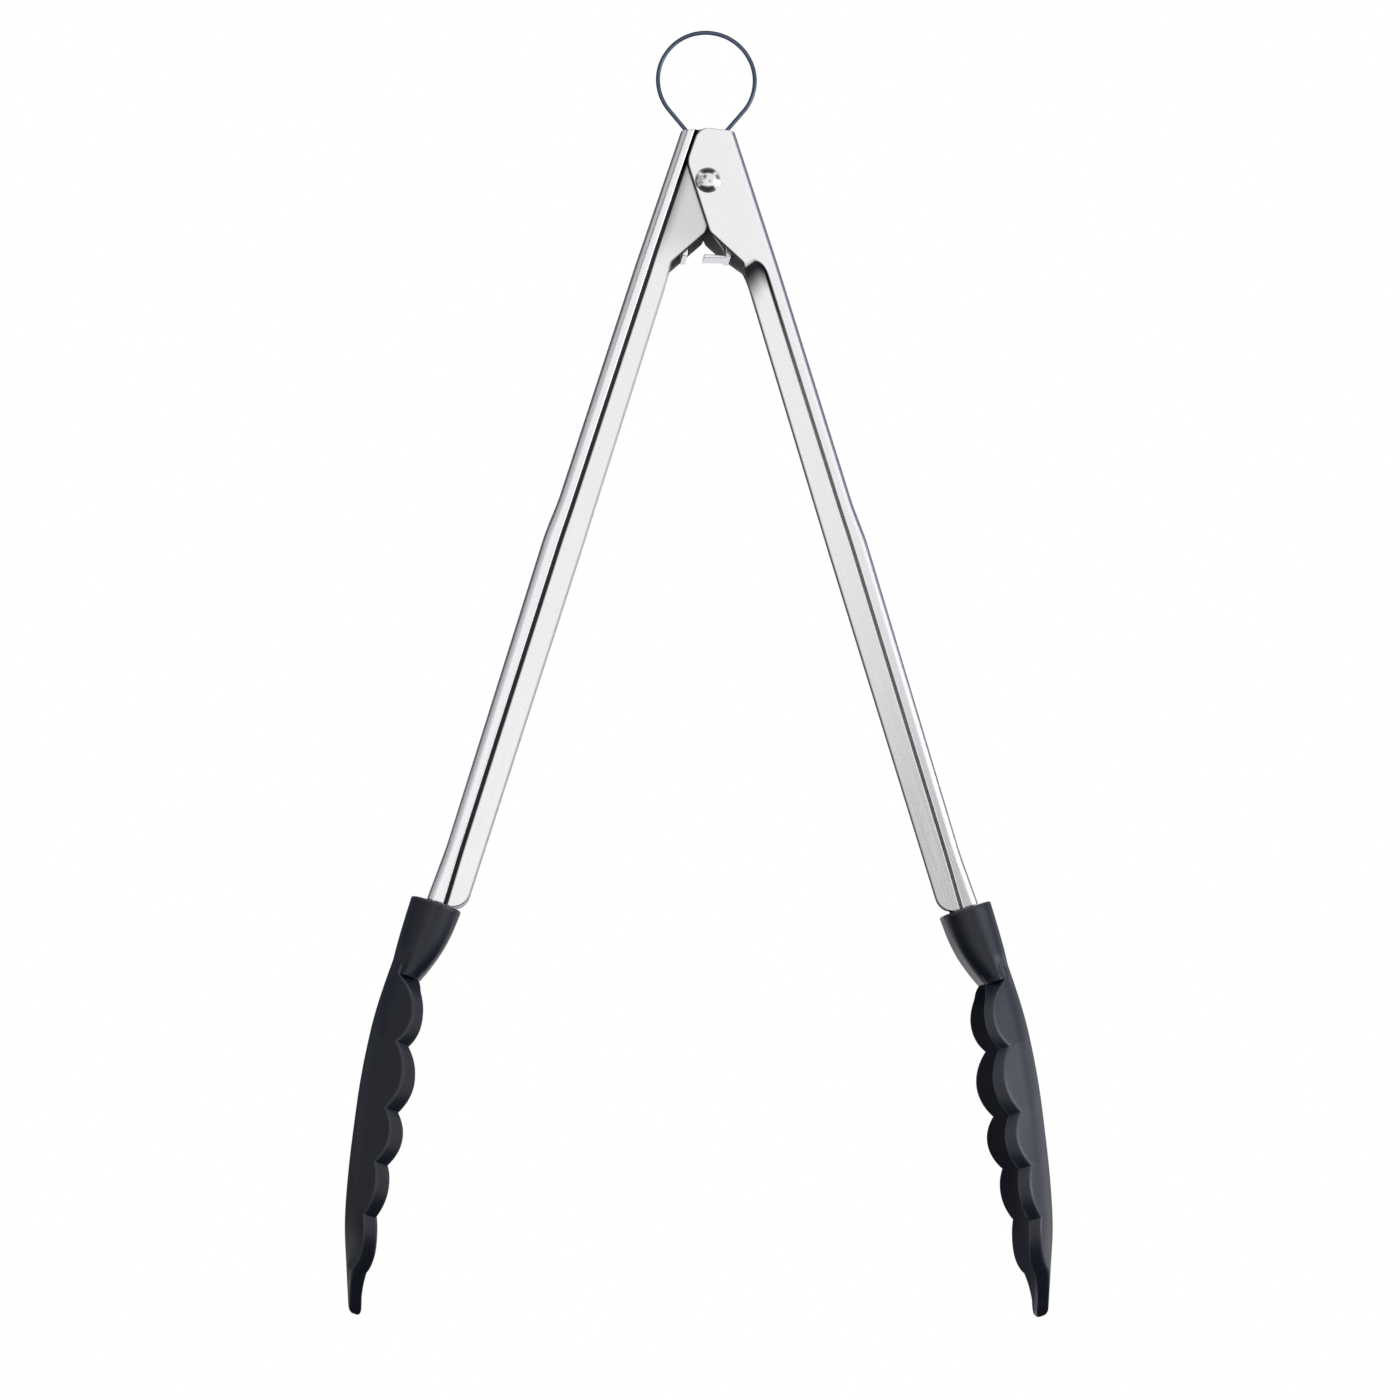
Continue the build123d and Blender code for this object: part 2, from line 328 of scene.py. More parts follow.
def wireSteel(name, bright, dark, roughness):
    # drawn wire with a slightly mottled skin
    look = wireLook
    tree = Tree(bpy.data.materials.new(name))
    mottle = tree.noise(look["mottle"], detail=4.0)
    patches = tree.noise(look["patches"], detail=2.0)
    colour = tree.mixColour(mottle * 0.5 + patches * 0.5, dark, bright)
    level = roughness + mottle * look["mottleRough"] - look["mottleRough"] / 2
    normal = tree.bump(mottle, *look["bump"])
    return tree.surface(colour, level, normal, metallic=1.0)


nylonLook = {
    "deep": (0.0024, 0.0048, 0.0135, 1.0),
    "pale": (0.0042, 0.0076, 0.0195, 1.0),
    # the colour of the painted highlight
    "rim": (0.056, 0.060, 0.078, 1.0),
    "highlightShare": 0.7,
    "grain": 2600.0,
    "flow": 45.0,
    "roughness": 0.30,
    "grainRough": 0.12,
    "flowRough": 0.08,
    "highlightPolish": 0.05,
    "bump": (0.22, 0.00004),
}


def mouldedNylon(name):
    # charcoal nylon out of a fine spark-eroded mould, satin, with a highlight painted along its edges
    look = nylonLook
    tree = Tree(bpy.data.materials.new(name))
    grain = tree.noise(look["grain"], detail=2.0)
    flow = tree.noise(look["flow"])
    rim = tree.mark("rim")
    colour = tree.mixColour(flow, look["deep"], look["pale"])
    # a highlight painted along the rims and the socket's eased ends
    colour = tree.mixColour(rim * look["highlightShare"], colour, look["rim"])
    roughness = look["roughness"] + grain * look["grainRough"] + flow * look["flowRough"]
    roughness = roughness - rim * look["highlightPolish"]
    normal = tree.bump(grain, *look["bump"])
    return tree.surface(colour, roughness, normal)


rivetLook = {
    "deep": (0.74, 0.74, 0.75, 1.0),
    "pale": (0.84, 0.84, 0.845, 1.0),
    "swirl": (2400.0, 300.0, 2400.0),
    "haze": 500.0,
    "roughness": 0.19,
    "swirlRough": 0.06,
    "bump": (0.03, 0.00001),
}


def polishedRivet(name):
    look = rivetLook
    tree = Tree(bpy.data.materials.new(name))
    swirl = tree.noise(1.0, where=tree.place(0.0, look["swirl"]))
    haze = tree.noise(look["haze"], detail=2.0)
    colour = tree.mixColour(haze, look["deep"], look["pale"])
    normal = tree.bump(swirl, *look["bump"])
    roughness = look["roughness"] + swirl * look["swirlRough"]
    return tree.surface(colour, roughness, normal, metallic=1.0)


plasticLook = {
    "deep": (0.03, 0.03, 0.032, 1.0),
    "pale": (0.05, 0.05, 0.052, 1.0),
    "grain": 1800.0,
    "roughness": 0.42,
    "grainRough": 0.15,
    "bump": (0.2, 0.00004),
}


def dullPlastic(name):
    look = plasticLook
    tree = Tree(bpy.data.materials.new(name))
    grain = tree.noise(look["grain"])
    colour = tree.mixColour(grain, look["deep"], look["pale"])
    normal = tree.bump(grain, *look["bump"])
    roughness = look["roughness"] + grain * look["grainRough"]
    return tree.surface(colour, roughness, normal)


outerSteel = brushedSteel("brushedSteelOuterArm", openAngle)
innerSteel = brushedSteel("brushedSteelInnerArm", -openAngle)
lockSteel = brushedSteel("brushedSteelLock", 0.0)
ringSteel = wireSteel("drawnRingWire", (0.125, 0.160, 0.235, 1.0), (0.060, 0.080, 0.125, 1.0), 0.28)
springSteel = wireSteel("drawnSpringWire", (0.42, 0.42, 0.43, 1.0), (0.28, 0.28, 0.29, 1.0), 0.32)
pinSteel = wireSteel("groundPin", (0.66, 0.66, 0.67, 1.0), (0.52, 0.52, 0.53, 1.0), 0.24)
rivetSteel = polishedRivet("polishedRivet")
jawNylon = mouldedNylon("charcoalNylon")
bushPlastic = dullPlastic("bushPlastic")
print("finishes:", len(bpy.data.materials), "materials")


# Arms: one folded sheet each, a raised strip along the back and recessed flanges

arm = {
    "sheet": 0.9,
    "backHalf": 8.5,
    "flangeHalf": 7.35,
    "backBend": 1.9,
    "bendSteps": 7,
    "stepRun": 1.0,
    # rows of points over the flange, the step and the strip beside it, and where they part
    "rows": (18, 14, 3),
    "footRun": 0.7,
    "ledge": 0.25,
    "edgeEase": 0.22,
    "edgeTurns": (0.35, 0.7, 1.0),
    "edgeRow": 0.15,
    "edgeFade": 0.4,
    # painted shade along the free edges: in the head, and below it on the outer and the inner arm
    "headEdgeShade": 1.0,
    "flangeEdgeShade": (0.85, 0.5),
    "headEnd": 20.0,
    "edgeShadeFade": 8.0,
    # painted shade on the inside of the head, which is also made a little rougher
    "paintedInsideShade": 0.65,
    "insideFade": 10.0,
    "topSlope": 0.4444,
    "topSpread": 24.0,
    "topNudge": 0.02,
    # down, out of the back, out of the step
    "stations": (
        (-16.0, 10.4, 7.5),
        (22.6, 10.4, 7.4),
        (27.0, 10.4, 7.3),
        (89.0, 9.6, 6.6),
        (98.0, 10.1, 6.6),
        (180.0, 8.1, 5.0),
        (193.3, 8.5, 4.5),
        (210.0, 8.5, 4.5),
    ),
    # the folds across the strip are eased over these shifts
    "softShifts": (-1.6, -0.8, 0.0, 0.8, 1.6),
    # out, down, corner radius
    "outline": (
        (14.0, -8.3, 0.0),
        (1.8, -13.722, 3.6),
        (-3.75, -6.2, 5.0),
        (-3.75, 12.6, 1.0),
        (1.95, 22.6, 1.5),
        (1.6, 27.0, 0.0),
        (0.25, 89.0, 0.0),
        (0.05, 98.0, 0.0),
        (-1.2, 180.0, 0.0),
        (-1.4, 193.3, 4.2),
        (14.0, 193.3, 0.0),
    ),
    # how much shallower the outer arm's far flange is, from the head to the end
    "farTrim": (1.7, 1.75),
    "farTrimRun": (30.0, 160.0),
    "farTrimStart": (14.0, 14.0),
    # rows across half the back; the second is the window's edge
    "backRows": (4.6, 2.6, 1.2),
    "window": (11.4, 21.45),
    # stations: crowded at both ends, and between them down to here in so many steps
    "topRun": 9.9,
    "topSteps": 30,
    "windowSteps": (10, 14),
    "spans": ((33.0, 34), (86.0, 18), (101.0, 16), (177.0, 26)),
    "endSteps": (10, 16),
    # the sheet's cut ends
    "cutEase": 0.1,
    "cutThin": 0.12,
    "catchHalf": 2.4,
    "catchRoot": (10.0, 9.0),
    "catchOut": 4.0,
    "catchDown": 10.95,
    "catchEnd": 13.7,
    "catchBend": 0.9,
    "catchEase": 0.14,
}
# the outer arm's recess, which starts in an arch below its flush cheek
arch = {
    "top": 22.6,
    "middle": 4.8,
    "reach": 2.35,
    "fall": 4.9,
    "lean": 0.33,
    "run": 6.0,
    "steep": 2.4,
    # the shade painted under it: how long at the step and further in, and how it starts
    "fade": (8.0, 11.5),
    "fadeRun": 5.0,
    "fadeFrom": 1.2,
    "onset": 10.0,
    # the painted dark line along the fold, at the arch and further down
    "paintedShade": (1.0, 0.6),
    "lineShadeRun": (26.0, 30.0),
    "lineShadeWidth": 7.0,
}
# painted shade on the inner arm's nested cheek, as if in the other one's shadow, darkest along the step
nested = {
    "headRun": (12.0, 14.0),
    "shade": 0.22,
    "stepShade": 0.3,
    "stepReach": 2.4,
    # the painted dark line along the step: where it starts and how fast it grows, where it ends and how fast it
    # fades
    "lineStart": (0.6, 0.45),
    "lineEnd": (0.1, 0.22),
}
armOutline = roundedOutline(arm["outline"], arcSteps=10)
topOut, topLow = arm["outline"][0][:2]
topDown = topLow - (topOut - arm["stations"][0][1]) * arm["topSlope"]
endDown = arm["outline"][-1][1]


def softReading(down, column):
    readings = [reading(arm["stations"], down + shift, column) for shift in arm["softShifts"]]
    return sum(readings) / len(readings)


# Both give 0 on the strip and a flush cheek, 1 on the recessed flange, and how much shade is painted there

def nestedShare(out, down, step):
    share = ease((step - out) / arm["stepRun"])
    head = 1.0 - easeFrom(down, *nested["headRun"])
    below, grow = nested["lineStart"]
    above, fall = nested["lineEnd"]
    low = step - arm["stepRun"] - below
    line = easeFrom(out, low, grow) * ease((step - above - out) / fall)
    beside = max(0.0, 1.0 - max(0.0, low - out) / nested["stepReach"])
    # painted shade on the nested cheek, darkest beside the step
    shade = (nested["shade"] + nested["stepShade"] * beside ** 2) * head * share
    return share, max(line, shade)


def archShare(out, down, step):
    share = ease((step - out) / arm["stepRun"])
    deep = between(*arch["paintedShade"], easeFrom(down, *arch["lineShadeRun"]))
    paintedShade = deep * min(1.0, arch["lineShadeWidth"] * share * (1.0 - share))
    past = out - arch["middle"]
    top = arch["top"] - past * arch["lean"]
    if past > 0:
        crown = sqrt(max(0.0, 1.0 - (past / arch["reach"]) ** 2))
        top = arch["top"] + arch["fall"] * (1.0 - crown)
    run = clamped((down - top) / arch["run"])
    sunk = 1.0 - (1.0 - run) ** arch["steep"]
    # painted shade under the arch, and a painted dark line along the fold
    fade = between(*arch["fade"], clamped((step - out) / arch["fadeRun"]))
    shade = ease(arch["fadeFrom"] - arch["fadeFrom"] * (down - top) / fade) * ease(run * arch["onset"])
    if sunk < share:
        return sunk, max(shade, paintedShade * sunk)
    return share, max(paintedShade, shade * share)


edgeSearch = {"stride": 0.3, "least": -8.0, "halvings": 14, "short": 0.01}


def freeEdge(down, tilt, back):
    # how far in the sheet reaches at a section before the outline cuts it
    def inside(out):
        level = min(down + tilt * (back - out), endDown - edgeSearch["short"])
        return insideOutline(armOutline, out, level)

    high = back - arm["backBend"]
    while inside(high - edgeSearch["stride"]) and high > edgeSearch["least"]:
        high -= edgeSearch["stride"]
    low = high - edgeSearch["stride"]
    for trial in range(edgeSearch["halvings"]):
        middle = (low + high) / 2
        if inside(middle):
            high = middle
        else:
            low = middle
    return high


def armSection(down, flushHead, thin):
    # one loop round the folded sheet: outside, far free edge, inside, near free edge
    sheet, half, bend = arm["sheet"], arm["backHalf"], arm["backBend"]
    depth = half - arm["flangeHalf"]
    back = softReading(down, 1)
    step = softReading(down, 2)
    tilt = -arm["topSlope"] * (1.0 - easeFrom(down, topDown, arm["topSpread"]))
    edge = freeEdge(down + (arm["topNudge"] if down < 0 else 0.0), tilt, back)
    shift = sheet * tan(atan2(depth, arm["stepRun"]) / 2)
    foot = step - arm["stepRun"] - arm["footRun"]
    ledge = step + arm["ledge"]
    flangeRows, stepRows, stripRows = arm["rows"]
    recess = archShare if flushHead else nestedShare
    flangeEdgeShade = arm["flangeEdgeShade"][0 if flushHead else 1]
    paintedEdgeShade = between(arm["headEdgeShade"], flangeEdgeShade, easeFrom(down, arm["headEnd"], arm["edgeShadeFade"]))
    # painted shade inside the head, fading out below it, and a little more roughness there
    dullAndShade = arm["paintedInsideShade"] * (1.0 - easeFrom(down, arm["headEnd"], arm["insideFade"]))

    def spot(out, y, dark):
        return out, y, down + tilt * (back - out), dark

    def halfRun(edge):
        # from the free edge round the bend to the middle of the back: outside, inside and rim
        start = edge + arm["edgeEase"]
        fadeEnd = start + arm["edgeFade"]
        outs = [start, start + arm["edgeRow"]] + spaced(fadeEnd, foot, flangeRows)
        outs += spaced(foot, ledge, stepRows) + spaced(ledge, back - bend, stripRows)
        outside, inside = [], []
        for out in outs:
            low = down + tilt * (back - out)
            share, paintedShade = recess(out, low, step)
            # painted shade along the free edge, fading inwards
            paintedShade = max(paintedShade, paintedEdgeShade * (fadeEnd - out) / arm["edgeFade"])
            under = recess(out - shift, low, step)[0]
            outside.append(spot(out, half - depth * share - thin, paintedShade))
            inside.append(spot(out, half - depth * under - sheet + thin, dullAndShade))
        for angle in quarterTurn(arm["bendSteps"]):
            for side, radius, dark in ((outside, bend - thin, 0.0), (inside, bend - sheet + thin, dullAndShade)):
                out = back - bend + radius * sin(angle)
                y = half - bend + radius * cos(angle)
                side.append(spot(out, y, dark))
        for y in arm["backRows"]:
            outside.append(spot(back - thin, y, 0.0))
            inside.append(spot(back - sheet + thin, y, dullAndShade))
        rim = []
        radius, turns = arm["edgeEase"], arm["edgeTurns"]
        for corner, order, sink in ((outside[0], turns, -radius), (inside[0], turns[::-1], radius)):
            for turn in order:
                angle = turn * pi / 2
                y = corner[1] + sink * (1.0 - cos(angle))
                rim.append(spot(corner[0] - radius * sin(angle), y, paintedEdgeShade))
        return outside, inside, rim

    trim = 0.0
    if flushHead:
        trim = between(*arm["farTrim"], easeFrom(down, *arm["farTrimRun"]))
        trim *= easeFrom(down, *arm["farTrimStart"])
    far, farUnder, farRim = halfRun(edge + trim)
    near, nearUnder, nearRim = (mirrored(run) for run in halfRun(edge))
    return near + far[::-1], farRim, farUnder + nearUnder[::-1], nearRim[::-1]


def armStations():
    # places down the arm, and how much thinner the sheet is at a cut end
    windowTop, windowEnd = arm["window"]
    endRound = arm["outline"][-2][2]
    topSteps = arm["topSteps"]
    aboveSteps, windowSteps = arm["windowSteps"]
    belowSteps, endSteps = arm["endSteps"]
    downs = [topDown + arm["topRun"] * (index / topSteps) ** 2 for index in range(topSteps)]
    start = topDown + arm["topRun"]
    spans = [(windowTop, aboveSteps), (windowEnd, windowSteps), *arm["spans"]]
    spans.append((endDown - endRound, belowSteps))
    for end, steps in spans:
        downs += spaced(start, end, steps)
        start = end
    downs += [endDown - endRound * (1 - index / endSteps) ** 2 for index in range(endSteps)]
    cut, thin = arm["cutEase"], arm["cutThin"]
    stations = [(downs[0], thin), (downs[0] + cut, 0.0)] + [(down, 0.0) for down in downs[1:]]
    return stations + [(endDown - cut, 0.0), (endDown, thin)]


def stripLoop(points, index, half, thick):
    # a flat strip's section, square to its path, with eased corners
    before = points[max(0, index - 1)]
    after = points[min(len(points) - 1, index + 1)]
    way = (Vector(after) - Vector(before)).normalized()
    normal = Vector((-way.y, way.x))
    cut = arm["catchEase"]
    corners = [
        (half, thick - cut), (half - cut, thick), (cut - half, thick), (-half, thick - cut),
        (-half, cut - thick), (cut - half, -thick), (half - cut, -thick), (half, cut - thick),
    ]
    return [(points[index][0] + normal.x * t, y, points[index][1] + normal.y * t) for y, t in corners]


def addCatch(bm, side):
    # folded in from the window's upper edge, round a bend and down
    out, down, bend = arm["catchOut"], arm["catchDown"], arm["catchBend"]
    root, start = arm["catchRoot"]
    path = [(root, down)] + [(x, down) for x in spaced(start, out + bend, 4)]
    for angle in quarterTurn(8):
        path.append((out + bend - bend * sin(angle), down + bend - bend * cos(angle)))
    path += [(out, between(down + bend, arm["catchEnd"], share)) for share in (0.5, 1.0)]
    rings = []
    for index in range(len(path)):
        ring = stripLoop(path, index, arm["catchHalf"], arm["sheet"] / 2)
        rings.append([armPoint(side, *point) for point in ring])
    skinRings(bm, rings, True, True)


def makeArm(name, side, flushHead, material):
    bm = bmesh.new()
    paintedShade = bm.verts.layers.float.new("paintedShade")
    stations = armStations()
    loops = []
    for down, thin in stations:
        parts = armSection(down, flushHead, thin)
        loop = []
        for part in parts:
            for out, y, low, dark in part:
                vert = bm.verts.new(armPoint(side, out, y, low))
                vert[paintedShade] = dark
                loop.append(vert)
        loops.append(loop)
    skinCount, rimCount = len(parts[0]), len(parts[1])
    count = len(loops[0])
    middle = skinCount // 2
    left, right = middle - 2, middle + 1  # the window's edges
    windowTop, windowEnd = arm["window"]
    window = [index for index, (down, thin) in enumerate(stations) if windowTop <= down <= windowEnd]

    def underIndex(index):
        return skinCount + rimCount + skinCount - 1 - index

    def inWindow(station, index):
        skin = left <= index < right
        under = underIndex(right) <= index < underIndex(left)
        return station in window[:-1] and (skin or under)

    def closeCut(loop, first, last):
        # the sheet's thickness along a cut across the arm
        for index in range(first, last):
            under, underAfter = underIndex(index), underIndex(index + 1)
            bm.faces.new((loop[index], loop[index + 1], loop[underAfter], loop[under]))

    for station, (low, high) in enumerate(zip(loops, loops[1:])):
        for index in range(count):
            if inWindow(station, index):
                continue
            after = (index + 1) % count
            bm.faces.new((low[index], low[after], high[after], high[index]))
    for loop in (loops[0], loops[-1]):
        closeCut(loop, 0, skinCount - 1)
        bm.faces.new([loop[index] for index in range(skinCount - 1, skinCount + rimCount + 1)])
        bm.faces.new([loop[index % count] for index in range(count - rimCount - 1, count + 1)])
    for station, after in zip(window, window[1:]):
        for index in (left, right):
            low, high = loops[station], loops[after]
            bm.faces.new((low[index], high[index], high[underIndex(index)], low[underIndex(index)]))
    for station in (window[0], window[-1]):
        closeCut(loops[station], left, right)
    addCatch(bm, side)
    piece = finishMesh(bm, name, material, smoothAngle=40)
    body = "outer" if side > 0 else "inner"
    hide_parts(body + "_arm")
    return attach(piece, body)


outerArm = makeArm("outerArm", 1, True, outerSteel)
innerArm = makeArm("innerArm", -1, False, innerSteel)
print("arms:", len(outerArm.data.polygons), "and", len(innerArm.data.polygons), "faces")


# Jaws: a socket on the arm's end and a scalloped scoop, one moulding

jaw = {
    "socketStart": 193.5,
    "socketEnd": 213.0,
    "scoopLength": 82.2,
    "rimEase": 0.42,
    "rimMost": 0.45,
    "rimSteps": 5,
    # the highlight painted on the rim's flat: beside its outer edge, along its middle, beside its inner edge
    "rimHighlights": (0.2, 0.08, 0.15),
    # the rim turns outwards: how far, how much of that at the root, and over which shares
    "rimFlare": 1.0,
    "flareRoot": 0.35,
    "flareStart": (0.1, 0.2),
    "flareEnd": (0.85, 0.1),
    "flareBand": (0.45, 0.55),
    "tipRound": 1.5,
    "tipInset": 1.1,
    # the rim's painted highlight is fainter at the tip
    "tipDim": 0.75,
    "tipDimRun": (0.86, 0.08),
    # down, inner side, outer side, half width, half width of the flat inner side
    "socket": (
        (193.5, -0.5, 12.4, 9.6, 3.2),
        (199.6, -0.05, 12.25, 9.75, 4.2),
        (204.4, 0.8, 12.05, 9.95, 4.9),
        (208.9, 2.15, 11.75, 10.1, 4.9),
        (213.0, 3.7, 11.35, 10.2, 4.2),
    ),
    # the socket's eased ends: distance from the end, inset, how much highlight is painted there
    "socketTop": ((0.0, 0.55, 0.6), (0.08, 0.25, 1.0), (0.3, 0.05, 0.8), (0.6, 0.0, 0.2)),
    "socketFoot": ((0.5, 0.0, 0.3), (0.22, 0.06, 0.9), (0.05, 0.25, 0.8), (0.0, 0.6, 0.3)),
    "socketSpan": (1.2, 0.7),
    "socketRows": 22,
    # points round it: a quarter of the oval, a corner, half the flat inner side
    "socketSteps": (28, 16, 4),
    "sinkStart": 206.5,
    "sinkRun": 6.0,
    "sinkDepth": 0.12,
    "sinkTurn": 2.5,
    # share of the scoop's length, back, bend radius, wall slope, wall
    "scoop": (
        (-0.085, 11.6, 12.0, 50.0, 5.6),
        (0.0, 11.71, 12.8, 50.7, 5.0),
        (0.036, 11.75, 13.2, 51.0, 3.0),
        (0.1, 11.7, 13.9, 51.4, 2.4),
        (0.182, 11.3, 14.8, 52.0, 2.4),
        (0.328, 9.8, 16.4, 51.0, 2.4),
        (0.474, 7.55, 18.6, 47.0, 2.4),
        (0.620, 4.95, 21.5, 41.0, 2.4),
        (0.754, 1.95, 22.5, 36.0, 2.4),
        (0.876, -1.9, 20.0, 28.0, 2.8),
        (1.022, -6.7, 24.0, 12.0, 3.2),
    ),
    # share and half width where scallops meet, and at their crests
    "notches": ((0.0, 8.0), (0.196, 13.3), (0.392, 15.1), (0.552, 15.9), (0.708, 15.2), (0.871, 10.0)),
    "crests": ((0.122, 14.5), (0.298, 16.7), (0.472, 17.7), (0.628, 17.6), (0.798, 15.0)),
    "tipStart": (0.951, 5.2),
    "rootSteps": 6,
    "scallopSteps": 30,
    "turnSteps": 8,
    # the last step stops short of the point
    "tipSteps": 18.6,
    "across": 44,
}


def arcHalf(start, crest, end, place):
    # the half width at a place on the arc through three rim points
    ax, ay = start
    bx, by = crest
    cx, cy = end
    cross = 2 * (ax * (by - cy) + bx * (cy - ay) + cx * (ay - by))
    square = [point[0] ** 2 + point[1] ** 2 for point in (start, crest, end)]
    middle = (square[0] * (by - cy) + square[1] * (cy - ay) + square[2] * (ay - by)) / cross
    level = (square[0] * (cx - bx) + square[1] * (ax - cx) + square[2] * (bx - ax)) / cross
    radius = hypot(ax - middle, ay - level)
    return level + sqrt(max(0.0, radius ** 2 - (place - middle) ** 2))


def scoopStations():
    # places along the scoop and the half width of its rim there
    length = jaw["scoopLength"]

    def scaled(point):
        return (point[0] * length, point[1])

    root = scaled(jaw["scoop"][0])[0]
    rows = [(place, jaw["notches"][0][1]) for place in spaced(root, 0.0, jaw["rootSteps"])]
    for index, crest in enumerate(jaw["crests"]):
        start, end = scaled(jaw["notches"][index]), scaled(jaw["notches"][index + 1])
        for step in range(jaw["scallopSteps"]):
            share = 0.5 - 0.5 * cos(pi * step / jaw["scallopSteps"])
            place = between(start[0], end[0], share)
            rows.append((place, arcHalf(start, scaled(crest), end, place)))
    turn, tip = scaled(jaw["notches"][-1]), scaled(jaw["tipStart"])
    for place in spaced(turn[0], tip[0], jaw["turnSteps"]):
        rows.append((place, reading((turn, tip), place, 1)))
    radius = (tip[1] ** 2 + (length - tip[0]) ** 2) / (2 * (length - tip[0]))
    reach = asin(tip[1] / radius)
    for step in range(ceil(jaw["tipSteps"])):
        angle = reach * (1 - step / jaw["tipSteps"])
        rows.append((length - radius * (1 - cos(angle)), radius * sin(angle)))
    return rows


def scoopShape(share):
    back, bend, slope = (smoothReading(jaw["scoop"], share, column) for column in (1, 2, 3))
    return back, bend, radians(slope)


def scoopSurface(share, y):
    # how far out the scoop's outside lies at y
    back, bend, slope = scoopShape(share)
    turn = bend * sin(slope)
    if abs(y) <= turn:
        return back - bend + sqrt(bend * bend - y * y)
    return back - bend * (1 - cos(slope)) - (abs(y) - turn) * tan(slope)


def scoopHalf(share, out):
    # half the width of the scoop's outside at a distance out
    back, bend, slope = scoopShape(share)
    drop = back - out
    if drop <= 0.0:
        return 0.0
    if drop <= bend * (1 - cos(slope)):
        return sqrt(drop * (2 * bend - drop))
    return bend * sin(slope) + (drop - bend * (1 - cos(slope))) / tan(slope)


def scoopLoop(place, half):
    # outside, far rim, inside, near rim; the rims are eased at both corners and carry a painted highlight
    share = place / jaw["scoopLength"]
    wall = smoothReading(jaw["scoop"], share, 4)
    radius = min(jaw["rimEase"], jaw["rimMost"] * half)
    tipRun = clamped(1.0 - (jaw["scoopLength"] - place) / jaw["tipRound"])
    inset = jaw["tipInset"] * (1.0 - sqrt(1.0 - tipRun ** 2))
    # the painted highlight on the rim fades towards the tip
    shade = 1.0 - jaw["tipDim"] * easeFrom(share, *jaw["tipDimRun"])
    flare = jaw["rimFlare"] * between(jaw["flareRoot"], 1.0, easeFrom(share, *jaw["flareStart"]))
    flare *= 1.0 - easeFrom(share, *jaw["flareEnd"])

    def skin(y):
        return scoopSurface(share, y) + flare * easeFrom(abs(y) / half, *jaw["flareBand"]) - inset

    count = jaw["across"]
    ys = [between(radius - half, half - radius, index / count) for index in range(count + 1)]
    outside = [(skin(y), y, 0.0) for y in ys]
    inside = [(scoopSurface(share, y) - wall + inset, y, 0.0) for y in ys]
    corner = skin(half)
    wall = corner - (scoopSurface(share, half) - wall + inset)

    def eased(start, bend, end):
        points = []
        for step in range(1, jaw["rimSteps"]):
            t = step / jaw["rimSteps"]
            mix = [(1 - t) ** 2 * a + 2 * t * (1 - t) * b + t * t * c for a, b, c in zip(start, bend, end)]
            points.append((mix[0], mix[1], shade))
        return points

    outerMark, flatMark, innerMark = jaw["rimHighlights"]
    foot = corner - wall
    rim = eased(outside[-1][:2], (corner, half), (corner - radius, half))
    rim.append((corner - radius, half, outerMark * shade))
    rim.append((corner - wall / 2, half, flatMark))
    rim.append((foot + radius, half, innerMark * shade))
    rim += eased((foot + radius, half), (foot, half), inside[-1][:2])
    return outside + rim + inside[::-1] + mirrored(rim[::-1])


def sleeveLoop(place, inset, edge):
    # oval on its outer half and flat inside; low down its outer half sinks into the scoop's back
    inner, outer, half, flat = (smoothReading(jaw["socket"], place, column) for column in (1, 2, 3, 4))
    inner, outer, half, flat = inner + inset, outer - inset, half - inset, flat - inset
    middle, reach = (inner + outer) / 2, (outer - inner) / 2
    share = (place - jaw["socketEnd"]) / jaw["scoopLength"]
    sink = easeFrom(place, jaw["sinkStart"], jaw["sinkRun"])
    ovalSteps, cornerSteps, flatSteps = jaw["socketSteps"]
    loop = []
    for step in range(-ovalSteps, ovalSteps + 1):
        angle = radians(90 * step / ovalSteps)
        lean = cos(angle)
        out, y = middle + reach * lean, half * sin(angle)
        flush = max(0.0, scoopHalf(share, out) - jaw["sinkDepth"])
        sunk = sink * ease(lean * jaw["sinkTurn"])
        y = copysign(between(abs(y), min(abs(y), flush), sunk), y)
        # the painted highlight of the eased ends, less where the socket sinks into the scoop
        loop.append((out, y, edge * (1.0 - sunk)))
    corner = []
    for angle in quarterTurn(cornerSteps)[1:]:
        y = flat + (half - flat) * cos(angle)
        corner.append((middle - reach * sin(angle), y, edge))
    loop += corner
    loop += [(inner, flat * (1.0 - step / flatSteps), edge) for step in range(1, 2 * flatSteps)]
    return loop + mirrored(corner[::-1])


def socketStations():
    # places down the socket, how far its ends are drawn in there and how much highlight is painted on them
    start, end = jaw["socketStart"], jaw["socketEnd"]
    first, last = jaw["socketSpan"]
    rows = [(start + place, inset, edge) for place, inset, edge in jaw["socketTop"]]
    rows += [(place, 0.0, 0.0) for place in spaced(start + first, end - last, jaw["socketRows"])]
    return rows + [(end - place, inset, edge) for place, inset, edge in jaw["socketFoot"]]


